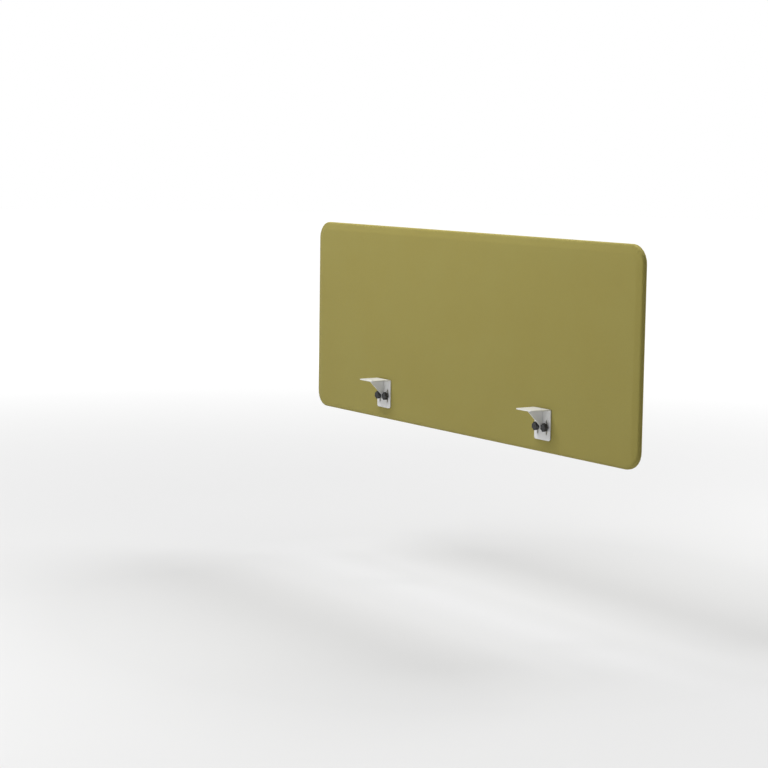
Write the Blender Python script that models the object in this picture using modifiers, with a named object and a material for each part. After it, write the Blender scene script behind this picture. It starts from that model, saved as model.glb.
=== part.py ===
"""Desk privacy panel: an upholstered screen that hangs behind a worktop on two slotted steel brackets.

X runs along the panel, +Y points to its rear face, away from the person at the desk, and Z is up.
Z is 0 at the lowest point of the cover, and the origin is midway between the brackets' front tips
and the rear face.
"""

import math

import bmesh
import bpy

# Panel: overall sizes and the layers of its upholstery, from the board outwards.
PANEL_WIDTH = 1.800
PANEL_HEIGHT = 0.670
CORNER_RADIUS = 0.060
EDGE_ROUND = 0.010
BOARD_THICKNESS = 0.016
FOAM_THICKNESS = 0.0034
FABRIC_THICKNESS = 0.0010
CLEARANCE = 0.0003

# Zip along the bottom edge.
ZIP_INSET = 0.150
ZIP_TAPE_WIDTH = 0.0047
ZIP_TAPE_THICKNESS = 0.0006
ZIP_TEETH_WIDTH = 0.0016
ZIP_TEETH_THICKNESS = 0.0018
ZIP_STOP_LENGTH = 0.004
SLIDER_LENGTH = 0.011
SLIDER_PLATE = 0.0009
SLIDER_HEIGHT = 0.0050
DIVIDER_THICKNESS = 0.0005

# Brackets under the worktop.
BRACKET_SPACING = 0.900
BRACKET_WIDTH = 0.080
BRACKET_REACH = 0.080
BRACKET_DROP = 0.100
SEAT_HEIGHT = 0.140
STEEL_THICKNESS = 0.003
BEND_RADIUS = 0.006
FLANGE_CORNER = 0.008
RIB_LEG = 0.055
RIB_TOE = 0.006
SCREW_HOLE = 0.0055
SCREW_HOLE_SPREAD = 0.050
SCREW_ROW_FRONT = 0.015
SCREW_ROW_REAR = 0.055

# Clamping points: stud, bush, insert, washer and knob.
CLAMP_SPACING = 0.044
CLAMP_HEIGHT = 0.082
HEIGHT_TRAVEL = 0.020
STUD_DIAMETER = 0.0058
BORE_CLEARANCE = 0.0003
BUSH_DIAMETER = 0.012
BUSH_PROUD = 0.0005
INSERT_DIAMETER = 0.009
INSERT_LENGTH = 0.013
WASHER_DIAMETER = 0.018
WASHER_THICKNESS = 0.0016
KNOB_DIAMETER = 0.028
KNOB_HEIGHT = 0.014
KNOB_LOBES = 7
KNOB_POINTS_PER_LOBE = 6
KNOB_LOBE_DEPTH = 0.0012
KNOB_EDGE = 0.0015
STUD_IN_KNOB = 0.008
STUD_IN_INSERT = 0.011

# Worked out from the sizes above. Depths are measured from the panel's middle plane.
BOARD_FACE = BOARD_THICKNESS / 2
FOAM_INNER = BOARD_FACE + CLEARANCE
FOAM_OUTER = FOAM_INNER + FOAM_THICKNESS
COVER_INNER = FOAM_OUTER + CLEARANCE
COVER_OUTER = COVER_INNER + FABRIC_THICKNESS
BOARD_INSET = COVER_OUTER - BOARD_FACE
FOAM_INSET = COVER_OUTER - FOAM_OUTER
BUSH_TIP = COVER_OUTER + BUSH_PROUD
BRACKET_REAR = BUSH_TIP + CLEARANCE
BRACKET_FRONT = BRACKET_REAR + STEEL_THICKNESS
BRACKET_TIP = BRACKET_REAR + BRACKET_REACH
WASHER_REAR = BRACKET_FRONT + CLEARANCE
WASHER_FRONT = WASHER_REAR + WASHER_THICKNESS
KNOB_REAR = WASHER_FRONT + CLEARANCE
STUD_RADIUS = STUD_DIAMETER / 2
BORE_RADIUS = STUD_RADIUS + BORE_CLEARANCE
STUD_REAR = FOAM_INNER - STUD_IN_INSERT
STUD_FRONT = KNOB_REAR + STUD_IN_KNOB
TEETH_INNER = DIVIDER_THICKNESS / 2 + CLEARANCE
TEETH_OUTER = TEETH_INNER + ZIP_TEETH_WIDTH
TAPE_INNER = TEETH_OUTER + CLEARANCE
TAPE_OUTER = TAPE_INNER + ZIP_TAPE_WIDTH
TAPE_ON_ROUND = max(TAPE_OUTER - (COVER_OUTER - EDGE_ROUND), 0)
COVER_AT_TAPE = EDGE_ROUND - math.sqrt((EDGE_ROUND - FABRIC_THICKNESS) ** 2 - TAPE_ON_ROUND**2)
TAPE_LOW = COVER_AT_TAPE + 2 * CLEARANCE
TAPE_TOP = TAPE_LOW + ZIP_TAPE_THICKNESS
ZIP_LEVEL = (TAPE_LOW + TAPE_TOP) / 2
TEETH_LOW = ZIP_LEVEL - ZIP_TEETH_THICKNESS / 2
TEETH_TOP = ZIP_LEVEL + ZIP_TEETH_THICKNESS / 2
SLIDER_LOW = ZIP_LEVEL - SLIDER_HEIGHT / 2
SLIDER_TOP = ZIP_LEVEL + SLIDER_HEIGHT / 2
SLIDER_HALF_WIDTH = TEETH_OUTER + CLEARANCE + SLIDER_PLATE
ZIP_CHANNEL_DEPTH = SLIDER_TOP + CLEARANCE
ZIP_SLOT_HALF = SLIDER_HALF_WIDTH + CLEARANCE
ZIP_LENGTH = PANEL_WIDTH - 2 * ZIP_INSET
ZIP_REACH = ZIP_LENGTH / 2 + ZIP_STOP_LENGTH
PANEL_Y = (BRACKET_TIP - COVER_OUTER) / 2
PANEL_MIDDLE = PANEL_HEIGHT / 2
SIDES = (("left", -1), ("right", 1))

# Mesh fineness.
ROUND_SEGMENTS = 24
CORNER_SEGMENTS = 8
EDGE_SEGMENTS = 4
BEND_SEGMENTS = 5
MERGE = 0.00002
PAST = 0.002
STAND_UP = (math.pi / 2, 0, 0)
SEEN_FROM_SIDE = (math.pi / 2, 0, math.pi / 2)


def clear_scene():
    for old in list(bpy.data.objects):
        bpy.data.objects.remove(old, do_unlink=True)


def new_collection(name):
    made = bpy.data.collections.new(name)
    bpy.context.scene.collection.children.link(made)
    return made


def new_material(name, colour, roughness, metallic=0.0):
    material = bpy.data.materials.new(name)
    material.use_nodes = True
    shader = material.node_tree.nodes["Principled BSDF"]
    shader.inputs["Base Color"].default_value = (*colour, 1.0)
    shader.inputs["Roughness"].default_value = roughness
    shader.inputs["Metallic"].default_value = metallic
    return material


def new_object(name, mesh, material=None, location=(0, 0, 0), rotation=(0, 0, 0)):
    """A sub-part with a material, or, without one, a cutter."""
    made = bpy.data.objects.new(name, mesh)
    made.location = location
    made.rotation_euler = rotation
    if material is None:
        cutters.objects.link(made)
        made.hide_render = True
        made.display_type = "WIRE"
    else:
        parts.objects.link(made)
        mesh.materials.append(material)
    return made


def mesh_of(bm, name):
    mesh = bpy.data.meshes.new(name)
    bm.to_mesh(mesh)
    bm.free()
    return mesh


def empty(name, location=(0, 0, 0), parent=None):
    made = bpy.data.objects.new(name, None)
    made.location = location
    made.parent = parent
    parts.objects.link(made)
    return made


def box(name, low, high, material=None):
    """A box between two corners given in world axes."""
    bm = bmesh.new()
    bmesh.ops.create_cube(bm, size=1)
    bmesh.ops.scale(bm, vec=[b - a for a, b in zip(low, high)], verts=bm.verts)
    middle = [(a + b) / 2 for a, b in zip(low, high)]
    return new_object(name, mesh_of(bm, name), material, middle)


def blank(name, size, corner, edge=0.0, material=None):
    """A slab with rounded corners in its X-Z outline and, where edge is given, rounded rims."""
    bm = bmesh.new()
    bmesh.ops.create_cube(bm, size=1)
    bmesh.ops.scale(bm, vec=size, verts=bm.verts)
    rounding = {"profile": 0.5, "affect": "EDGES"}
    through = [e for e in bm.edges if abs(e.verts[0].co.y - e.verts[1].co.y) > size[1] / 2]
    bmesh.ops.bevel(bm, geom=through, offset=corner, segments=CORNER_SEGMENTS, **rounding)
    if edge:
        rims = [e for e in bm.edges if abs(e.verts[0].co.y - e.verts[1].co.y) < size[1] / 2]
        bmesh.ops.bevel(bm, geom=rims, offset=edge, segments=EDGE_SEGMENTS, **rounding)
    return new_object(name, mesh_of(bm, name), material, (0, PANEL_Y, PANEL_MIDDLE))


def soft_slab(name, inset, material=None):
    """The upholstered panel's outer shape, brought in by inset all round."""
    size = [s - 2 * inset for s in (PANEL_WIDTH, 2 * COVER_OUTER, PANEL_HEIGHT)]
    return blank(name, size, CORNER_RADIUS - inset, EDGE_ROUND - inset, material)


def square_slab(name, inset, half_depth, material=None):
    """The panel's outline brought in by inset, with square rims, this deep to each side of the middle."""
    size = (PANEL_WIDTH - 2 * inset, 2 * half_depth, PANEL_HEIGHT - 2 * inset)
    return blank(name, size, CORNER_RADIUS - inset, material=material)


def turned(name, profile, material=None, location=(0, 0, 0), rotation=STAND_UP):
    """A ring or rod from (radius, height) points that run down the outer side, height along the axis."""
    bm = bmesh.new()
    points = [bm.verts.new((radius, 0, height)) for radius, height in profile]
    for a, b in zip(points, points[1:]):
        bm.edges.new((a, b))
    if min(radius for radius, _ in profile) > 0:
        bm.edges.new((points[-1], points[0]))
    made = new_object(name, mesh_of(bm, name), material, location, rotation)
    screw = made.modifiers.new("turn", "SCREW")
    screw.axis = "Z"
    screw.steps = ROUND_SEGMENTS
    screw.render_steps = ROUND_SEGMENTS
    screw.use_merge_vertices = True
    screw.merge_threshold = MERGE
    screw.use_smooth_shade = True
    return made


def ring(name, outer, inner, start, end, material, location):
    """A ring along the axis from start to end, both measured forwards of the location."""
    profile = [(outer, end), (outer, start), (inner, start), (inner, end)]
    return turned(name, profile, material, location)


def plate(name, outline, thickness, material=None, location=(0, 0, 0), rotation=STAND_UP):
    """A flat outline made solid, half its thickness to each side of its own plane."""
    curve = bpy.data.curves.new(name, "CURVE")
    curve.dimensions = "2D"
    curve.fill_mode = "BOTH"
    curve.extrude = thickness / 2
    spline = curve.splines.new("POLY")
    spline.points.add(len(outline) - 1)
    for point, (x, y) in zip(spline.points, outline):
        point.co = (x, y, 0, 1)
    spline.use_cyclic_u = True
    drawn = bpy.data.objects.new(name, curve)
    bpy.context.scene.collection.objects.link(drawn)
    bpy.context.view_layer.update()
    mesh = bpy.data.meshes.new_from_object(drawn.evaluated_get(bpy.context.evaluated_depsgraph_get()))
    bpy.data.objects.remove(drawn)
    bm = bmesh.new()
    bm.from_mesh(mesh)
    bmesh.ops.remove_doubles(bm, verts=bm.verts, dist=MERGE)
    bmesh.ops.dissolve_limit(bm, angle_limit=math.radians(1), verts=bm.verts, edges=bm.edges)
    bmesh.ops.recalc_face_normals(bm, faces=bm.faces)
    bm.to_mesh(mesh)
    bm.free()
    mesh.name = name
    return new_object(name, mesh, material, location, rotation)


def arc(centre, radius, first, last, steps):
    """Points along an arc, with its angles in degrees."""
    angles = [math.radians(first + (last - first) * i / steps) for i in range(steps + 1)]
    return [(centre[0] + radius * math.cos(a), centre[1] + radius * math.sin(a)) for a in angles]


def stadium(width, length):
    """A slot's outline, with round ends, longer along its second axis."""
    straight = (length - width) / 2
    top = arc((0, straight), width / 2, 0, 180, CORNER_SEGMENTS)
    bottom = arc((0, -straight), width / 2, 180, 360, CORNER_SEGMENTS)
    return top + bottom


def combine(target, tool, operation="DIFFERENCE"):
    boolean = target.modifiers.new(tool.name, "BOOLEAN")
    boolean.operation = operation
    boolean.solver = "EXACT"
    boolean.object = tool


def half_space(name, depth, forwards):
    """A cutter for everything in front of a plane, or behind it, depth in front of the middle plane."""
    wide = PANEL_WIDTH
    plane = PANEL_Y - depth
    far = plane - wide if forwards else plane + wide
    return box(name, (-wide, min(plane, far), -wide), (wide, max(plane, far), PANEL_HEIGHT + wide))


def strip_cutter(name, reach, half_width, low, high):
    """A cutter along the middle of the bottom edge."""
    return box(name, (-reach, PANEL_Y - half_width, low), (reach, PANEL_Y + half_width, high))


def clamp_places():
    """Name, x and side of each clamping point."""
    for side, sign in SIDES:
        for place, step in (("outer", 1), ("inner", -1)):
            x = sign * (BRACKET_SPACING / 2 + step * CLAMP_SPACING / 2)
            yield f"{side}_{place}", x


def at_depth(x, depth, height):
    """World position of a point this far in front of the panel's middle plane."""
    return (x, PANEL_Y - depth, height)


def round_cutter(name, x, radius, start, end):
    """A cutter along a clamping point's axis, from start to end in front of the middle plane."""
    profile = [(0, end), (radius, end), (radius, start), (0, start)]
    return turned(name, profile, None, at_depth(x, 0, CLAMP_HEIGHT))


def make_core_board():
    board = square_slab("core_board", BOARD_INSET, BOARD_FACE, wood)
    channel_top = max(ZIP_CHANNEL_DEPTH, BOARD_INSET)
    combine(board, strip_cutter("zip_channel", PANEL_WIDTH, COVER_OUTER, -PAST, channel_top))
    hole_radius = INSERT_DIAMETER / 2 + CLEARANCE
    hole_end = BOARD_FACE - INSERT_LENGTH - 2 * CLEARANCE
    for name, x in clamp_places():
        combine(board, round_cutter(f"insert_hole_{name}", x, hole_radius, hole_end, BOARD_FACE + PAST))
    return board


def make_foam():
    """Two face sheets, and an edge strip that leaves the bottom open for the zip."""
    front = soft_slab("front_foam", FOAM_INSET, foam)
    combine(front, half_space("behind_front_foam", FOAM_INNER, forwards=False))
    for name, x in clamp_places():
        radius = BUSH_DIAMETER / 2 + CLEARANCE
        combine(front, round_cutter(f"foam_hole_{name}", x, radius, 0, COVER_OUTER + PAST))
    rear = soft_slab("rear_foam", FOAM_INSET, foam)
    combine(rear, half_space("before_rear_foam", -FOAM_INNER, forwards=True))
    half_pocket = TAPE_OUTER + CLEARANCE
    pocket = strip_cutter("zip_pocket", ZIP_REACH + CLEARANCE, half_pocket, -PAST, ZIP_CHANNEL_DEPTH)
    combine(front, pocket)
    combine(rear, pocket)
    edge = soft_slab("edge_foam", FOAM_INSET, foam)
    combine(edge, half_space("before_edge_foam", BOARD_FACE, forwards=True))
    combine(edge, half_space("behind_edge_foam", -BOARD_FACE, forwards=False))
    combine(edge, square_slab("inside_edge_foam", BOARD_INSET - CLEARANCE, COVER_OUTER))
    gap = strip_cutter("edge_foam_gap", ZIP_REACH + CLEARANCE, COVER_OUTER, -PAST, BOARD_INSET + PAST)
    combine(edge, gap)
    return [front, rear, edge]


def make_covers():
    """Two trays of fabric that meet round the middle of the edge, and leave a slot for the zip."""
    inside = soft_slab("cover_inside", FABRIC_THICKNESS)
    slot = strip_cutter("cover_zip_slot", ZIP_REACH, ZIP_SLOT_HALF, -PAST, PAST)
    seam = CLEARANCE / 2
    covers = []
    for name, depth, forwards in (("front_cover", seam, False), ("rear_cover", -seam, True)):
        cover = soft_slab(name, 0, fabric)
        combine(cover, half_space(f"beyond_{name}", depth, forwards))
        combine(cover, inside)
        combine(cover, slot)
        covers.append(cover)
    for name, x in clamp_places():
        radius = BUSH_DIAMETER / 2 + CLEARANCE
        combine(covers[0], round_cutter(f"cover_hole_{name}", x, radius, BOARD_FACE, COVER_OUTER + PAST))
    return covers


def make_zip():
    """The fixed strips of the zip. The two rows of teeth leave a gap that the slider's divider passes."""
    made = []
    rows = (
        ("zip_tape", TAPE_INNER, TAPE_OUTER, TAPE_LOW, TAPE_TOP, tape),
        ("zip_teeth", TEETH_INNER, TEETH_OUTER, TEETH_LOW, TEETH_TOP, coil),
    )
    half = ZIP_LENGTH / 2
    for name, near, far, low, high, material in rows:
        for face, sign in (("front", -1), ("rear", 1)):
            ys = sorted((PANEL_Y + sign * near, PANEL_Y + sign * far))
            made.append(box(f"{name}_{face}", (-half, ys[0], low), (half, ys[1], high), material))
    for side, sign in SIDES:
        xs = sorted((sign * (half + CLEARANCE), sign * ZIP_REACH))
        low = (xs[0], PANEL_Y - TEETH_OUTER, TEETH_LOW)
        high = (xs[1], PANEL_Y + TEETH_OUTER, TEETH_TOP)
        made.append(box(f"zip_stop_{side}", low, high, steel))
    return made


def make_slider():
    """A channel with two plates, their lips and a thin divider, closed against the left-hand stop."""
    lip = SLIDER_HALF_WIDTH - SLIDER_PLATE
    half = [
        (SLIDER_HALF_WIDTH, SLIDER_LOW),
        (SLIDER_HALF_WIDTH, TAPE_LOW - CLEARANCE),
        (lip, TAPE_LOW - CLEARANCE),
        (lip, SLIDER_LOW + SLIDER_PLATE),
        (DIVIDER_THICKNESS / 2, SLIDER_LOW + SLIDER_PLATE),
        (DIVIDER_THICKNESS / 2, SLIDER_TOP - SLIDER_PLATE),
        (lip, SLIDER_TOP - SLIDER_PLATE),
        (lip, TAPE_TOP + CLEARANCE),
        (SLIDER_HALF_WIDTH, TAPE_TOP + CLEARANCE),
        (SLIDER_HALF_WIDTH, SLIDER_TOP),
    ]
    outline = half + [(-y, z) for y, z in reversed(half)]
    where = ((SLIDER_LENGTH - ZIP_LENGTH) / 2, PANEL_Y, 0)
    return plate("zip_slider", outline, SLIDER_LENGTH, zinc, where, SEEN_FROM_SIDE)


def folded_sheet(name, x):
    """The bracket's outer surface, from the drop's lower end round the bend to the seat's tip, made solid."""
    bend_centre = (-BRACKET_REAR - BEND_RADIUS, SEAT_HEIGHT - BEND_RADIUS)
    bend = arc(bend_centre, BEND_RADIUS, 0, 90, BEND_SEGMENTS)
    path = [(-BRACKET_REAR, SEAT_HEIGHT - BRACKET_DROP), *bend, (-BRACKET_TIP, SEAT_HEIGHT)]
    bm = bmesh.new()
    left, right = ([bm.verts.new((step * BRACKET_WIDTH / 2, y, z)) for y, z in path] for step in (-1, 1))
    for i in range(len(path) - 1):
        bm.faces.new((left[i], left[i + 1], right[i + 1], right[i]))
    bracket = new_object(name, mesh_of(bm, name), powder, (x, PANEL_Y, 0))
    fold = bracket.modifiers.new("steel", "SOLIDIFY")
    fold.thickness = STEEL_THICKNESS
    fold.offset = -1
    fold.use_even_offset = True
    return bracket


def cut_slot(bracket, x, name):
    """An upright slot that lets the stud at x travel up and down."""
    outline = stadium(2 * BORE_RADIUS, 2 * BORE_RADIUS + 2 * HEIGHT_TRAVEL)
    middle = (BRACKET_REAR + BRACKET_FRONT) / 2
    where = at_depth(x, middle, CLAMP_HEIGHT)
    combine(bracket, plate(f"slot_{name}", outline, STEEL_THICKNESS + 2 * PAST, None, where))


def cut_screw_hole(bracket, x, reach, name):
    """A hole through the seat, reach behind its front tip, for a screw up into the worktop."""
    where = at_depth(x, BRACKET_TIP - reach, SEAT_HEIGHT - STEEL_THICKNESS)
    top = STEEL_THICKNESS + PAST
    profile = [(0, top), (SCREW_HOLE / 2, top), (SCREW_HOLE / 2, -PAST), (0, -PAST)]
    combine(bracket, turned(f"screw_hole_{name}", profile, None, where, (0, 0, 0)))


def round_flange_corners(bracket, name, x):
    """Cuts the four free corners of the two flanges round."""
    inner = BRACKET_WIDTH / 2 - FLANGE_CORNER
    spill = BRACKET_WIDTH / 2 + PAST
    through = 2 * (STEEL_THICKNESS + PAST)
    drop_end = at_depth(x, BRACKET_REAR, SEAT_HEIGHT - BRACKET_DROP)
    seat_tip = at_depth(x, BRACKET_TIP, SEAT_HEIGHT)
    for flange, rotation, where in (("drop", STAND_UP, drop_end), ("seat", (0, 0, 0), seat_tip)):
        for step in (-1, 1):
            centre = (step * inner, FLANGE_CORNER)
            rounding = arc(centre, FLANGE_CORNER, 270, 270 + step * 90, CORNER_SEGMENTS)
            outside = [(step * spill, FLANGE_CORNER), (step * spill, -PAST), (step * inner, -PAST)]
            label = f"{name}_{flange}_corner_{step}"
            combine(bracket, plate(label, rounding + outside, through, None, where, rotation))


def make_bracket(side, sign):
    """A folded angle: its drop lies in front of the panel and its seat goes under the worktop."""
    name = f"bracket_{side}"
    x = sign * BRACKET_SPACING / 2
    bracket = folded_sheet(name, x)
    round_flange_corners(bracket, name, x)
    for end, step in (("a", -1), ("b", 1)):
        cut_slot(bracket, x + step * CLAMP_SPACING / 2, f"{side}_{end}")
        for row, reach in (("front", SCREW_ROW_FRONT), ("rear", SCREW_ROW_REAR)):
            cut_screw_hole(bracket, x + step * SCREW_HOLE_SPREAD / 2, reach, f"{side}_{end}_{row}")
    return bracket


def make_rib(side, sign):
    """The stiffening rib in the fold, between the two clamping points."""
    back = -BRACKET_FRONT - CLEARANCE
    top = SEAT_HEIGHT - STEEL_THICKNESS - CLEARANCE
    outline = [
        (back, top - BEND_RADIUS),
        (back, top - RIB_LEG),
        (back - RIB_TOE, top - RIB_LEG),
        (back - RIB_LEG, top - RIB_TOE),
        (back - RIB_LEG, top),
        (back - BEND_RADIUS, top),
    ]
    where = (sign * BRACKET_SPACING / 2, PANEL_Y, 0)
    return plate(f"bracket_rib_{side}", outline, STEEL_THICKNESS, powder, where, SEEN_FROM_SIDE)


def make_knob(name, x, parent):
    """A lobed grip on a stud, both on an empty that stands on the stud's axis."""
    axis = empty(f"knob_axis_{name}", at_depth(x, 0, CLAMP_HEIGHT), parent)
    lobes = []
    count = KNOB_LOBES * KNOB_POINTS_PER_LOBE
    for i in range(count):
        angle = 2 * math.pi * i / count
        radius = KNOB_DIAMETER / 2 - KNOB_LOBE_DEPTH * (1 - math.cos(KNOB_LOBES * angle)) / 2
        lobes.append((radius * math.cos(angle), radius * math.sin(angle)))
    middle = KNOB_REAR + KNOB_HEIGHT / 2
    grip = plate(f"knob_{name}", lobes, KNOB_HEIGHT, plastic, (0, -middle, 0))
    edge = grip.modifiers.new("edge", "BEVEL")
    edge.width = KNOB_EDGE
    edge.segments = 2
    edge.limit_method = "ANGLE"
    edge.angle_limit = math.radians(60)
    combine(
        grip,
        round_cutter(f"knob_bore_{name}", x, BORE_RADIUS, KNOB_REAR - PAST, STUD_FRONT + CLEARANCE),
    )
    rod = [(0, STUD_FRONT), (STUD_RADIUS, STUD_FRONT), (STUD_RADIUS, STUD_REAR), (0, STUD_REAR)]
    stud = turned(f"stud_{name}", rod, zinc)
    for piece in (grip, stud):
        piece.parent = axis


def make_clamp_ring_set(name, x):
    """The rings at one clamping point that stay with the panel: insert, bush and washer."""
    where = at_depth(x, 0, CLAMP_HEIGHT)
    insert_front = BOARD_FACE - CLEARANCE
    insert_rear = insert_front - INSERT_LENGTH
    return [
        ring(f"insert_{name}", INSERT_DIAMETER / 2, BORE_RADIUS, insert_rear, insert_front, brass, where),
        ring(f"bush_{name}", BUSH_DIAMETER / 2, BORE_RADIUS, FOAM_INNER, BUSH_TIP, steel, where),
        ring(f"washer_{name}", WASHER_DIAMETER / 2, BORE_RADIUS, WASHER_REAR, WASHER_FRONT, zinc, where),
    ]


def hold(parent, pieces):
    for piece in pieces:
        piece.parent = parent
    return pieces


clear_scene()
parts = new_collection("desk_privacy_panel")
cutters = new_collection("cutters")

fabric = new_material("fabric", (0.31, 0.27, 0.08), 0.90)
foam = new_material("foam", (0.55, 0.55, 0.52), 0.95)
wood = new_material("wood", (0.52, 0.38, 0.22), 0.75)
powder = new_material("powder_coat", (0.80, 0.80, 0.79), 0.45)
plastic = new_material("black_plastic", (0.03, 0.03, 0.03), 0.45)
steel = new_material("steel", (0.55, 0.55, 0.55), 0.35, 1.0)
zinc = new_material("zinc", (0.62, 0.62, 0.60), 0.32, 1.0)
brass = new_material("brass", (0.68, 0.52, 0.25), 0.35, 1.0)
tape = new_material("zip_tape", (0.24, 0.21, 0.07), 0.85)
coil = new_material("zip_teeth", (0.20, 0.18, 0.06), 0.50)

desk_side = empty("desk_side")
for side, sign in SIDES:
    hold(desk_side, [make_bracket(side, sign), make_rib(side, sign)])

panel_side = empty("panel_side", parent=desk_side)
hold(panel_side, [make_core_board(), *make_foam(), *make_covers(), *make_zip()])
for name, x in clamp_places():
    hold(panel_side, make_clamp_ring_set(name, x))
    make_knob(name, x, panel_side)
hold(empty("slider_carriage", parent=panel_side), [make_slider()])
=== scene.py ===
"""Looks of a fabric desk privacy panel on two clamp brackets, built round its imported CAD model."""

import math
from collections import namedtuple

import bmesh
import bpy
from mathutils import Matrix, Vector, noise


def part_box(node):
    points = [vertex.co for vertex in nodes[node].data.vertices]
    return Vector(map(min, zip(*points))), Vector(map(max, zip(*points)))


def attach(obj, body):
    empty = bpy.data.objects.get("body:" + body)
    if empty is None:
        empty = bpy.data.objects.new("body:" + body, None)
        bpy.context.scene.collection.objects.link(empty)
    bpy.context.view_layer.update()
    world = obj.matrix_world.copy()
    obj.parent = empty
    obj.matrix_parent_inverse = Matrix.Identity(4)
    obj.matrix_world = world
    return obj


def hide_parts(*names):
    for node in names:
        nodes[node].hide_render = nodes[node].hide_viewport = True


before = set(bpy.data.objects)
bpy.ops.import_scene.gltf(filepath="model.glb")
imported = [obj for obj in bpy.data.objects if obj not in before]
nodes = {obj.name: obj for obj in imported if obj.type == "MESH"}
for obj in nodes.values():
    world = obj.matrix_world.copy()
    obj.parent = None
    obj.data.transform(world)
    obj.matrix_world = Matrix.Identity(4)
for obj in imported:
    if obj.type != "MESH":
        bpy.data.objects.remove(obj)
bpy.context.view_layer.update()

# ---------------------------------------------------------------- places, from the CAD model
front_low, front_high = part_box("front_cover")
rear_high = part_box("rear_cover")[1]
LEFT, RIGHT = front_low.x, front_high.x
BOTTOM, TOP = front_low.z, front_high.z
MIDDLE_Y = (front_low.y + rear_high.y) / 2
HALF = (rear_high.y - front_low.y) / 2
CORNER = 0.060
FABRIC = 0.0010
GAP = 0.0003
FOAM_BACK = MIDDLE_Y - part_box("front_foam")[1].y
BOARD_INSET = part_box("core_board")[0].x - LEFT
CLAMPS = ("left_outer", "left_inner", "right_inner", "right_outer")
CLAMP_X = {}
for clamp in CLAMPS:
    bush_low, bush_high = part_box(f"bush_{clamp}")
    CLAMP_X[clamp] = (bush_low.x + bush_high.x) / 2
# the four bushes are alike and level, so the last one gives the height and the radius of all
CLAMP_Z = (bush_low.z + bush_high.z) / 2
BUSH_RADIUS = (bush_high.x - bush_low.x) / 2
ZIP_END = -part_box("zip_stop_left")[0].x
slider_low, slider_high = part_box("zip_slider")
SLOT_HALF = (slider_high.y - slider_low.y) / 2 + GAP

# ---------------------------------------------------------------- the shape of the soft edge
SLOPE_WIDE = 0.027  # from the outline in to the face
SLOPE_AT_ZIP = 0.012
SLOPE = 0.165  # rise over run
FOLD = 0.0045  # half the width of the fold between the slope and the face
NOSE = 0.008  # from the outline in to the slope
FULLNESS = 3.0  # 2 gives the nose an elliptic section, and more a squarer one
CORNER_STEPS = 32
GRID_STEP = 0.0105
PATCH = 0.011  # half the square of face that each hole is set in
HOLE_RADIUS = BUSH_RADIUS + 0.00035
HOLE_RIM = 0.0016
HOLE_POINTS = 32
SEAM_TURN = 0.0018  # half the width of the sewn groove
HEM_TURN = SLOT_HALF + 0.00065  # half the width of the open hem along the zip
PAST_ZIP = (0.0004, 0.0034)  # the open hem becomes the sewn groove between these, past the zip's end
ROLL_SHARES = (0, 0.05, 0.10, 0.16, 0.23, 0.30, 0.37, 0.44, 0.5, 0.58, 0.68, 0.77, 0.84, 0.90, 0.95, 1.0)
FLAT_SHARES = (0.25, 0.60)
# the stretched face's unevenness: height, waves for each metre, layer of the noise
UNEVEN = ((0.00030, 2.3, 4.0), (0.00012, 7.1, 9.0))
# the front face stays flat behind the brackets
FLAT_MIDDLE = 0.45
FLAT_HALF = 0.055
FLAT_HIGH = 0.175
FLAT_FADE = 0.04
WRINKLE = 0.00016
WRINKLES = 21  # for each metre of edge
TUCK = 0.00042
TUCKS = 6  # in each corner


def smooth(low, high, value):
    t = min(max((value - low) / (high - low), 0.0), 1.0)
    return t * t * (3 - 2 * t)


def steps_between(anchors, step):
    anchors = sorted(anchors)
    line = [anchors[0]]
    for a, b in zip(anchors, anchors[1:]):
        count = max(1, round((b - a) / step))
        line += [a + (b - a) * i / count for i in range(1, count + 1)]
    return line


x_anchors = [LEFT + CORNER, RIGHT - CORNER]
x_anchors += [side * (ZIP_END + past) for past in PAST_ZIP for side in (-1, 1)]
for middle in CLAMP_X.values():
    x_anchors += [middle - PATCH, middle, middle + PATCH]
GRID_X = steps_between(x_anchors, GRID_STEP)
GRID_Z = steps_between(
    [BOTTOM + CORNER, CLAMP_Z - PATCH, CLAMP_Z, CLAMP_Z + PATCH, TOP - CORNER], GRID_STEP
)
LAST_X = len(GRID_X) - 1
LAST_Z = len(GRID_Z) - 1


# a place on the outline: grid column and row, way outwards, length so far, share of a corner or None
Place = namedtuple("Place", "i k way length share")


def perimeter():
    """Places round the outline, anticlockwise as seen from the front, from the left end of the bottom."""
    places = []
    across = GRID_X[-1] - GRID_X[0]
    up = GRID_Z[-1] - GRID_Z[0]
    corner_length = CORNER * math.pi / 2

    def corner(i, k, first, start):
        for step in range(1, CORNER_STEPS):
            share = step / CORNER_STEPS
            angle = math.radians(first + 90 * share)
            way = (math.cos(angle), math.sin(angle))
            places.append(Place(i, k, way, start + share * corner_length, share))
        return start + corner_length

    for i, x in enumerate(GRID_X):
        places.append(Place(i, 0, (0.0, -1.0), x - GRID_X[0], None))
    length = corner(LAST_X, 0, -90, across)
    for k, z in enumerate(GRID_Z):
        places.append(Place(LAST_X, k, (1.0, 0.0), length + z - GRID_Z[0], None))
    length = corner(LAST_X, LAST_Z, 0, length + up)
    for i in range(LAST_X, -1, -1):
        places.append(Place(i, LAST_Z, (0.0, 1.0), length + GRID_X[-1] - GRID_X[i], None))
    length = corner(0, LAST_Z, 90, length + across)
    for k in range(LAST_Z, -1, -1):
        places.append(Place(0, k, (-1.0, 0.0), length + GRID_Z[-1] - GRID_Z[k], None))
    corner(0, 0, 180, length + up)
    return places


PERIMETER = perimeter()


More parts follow.
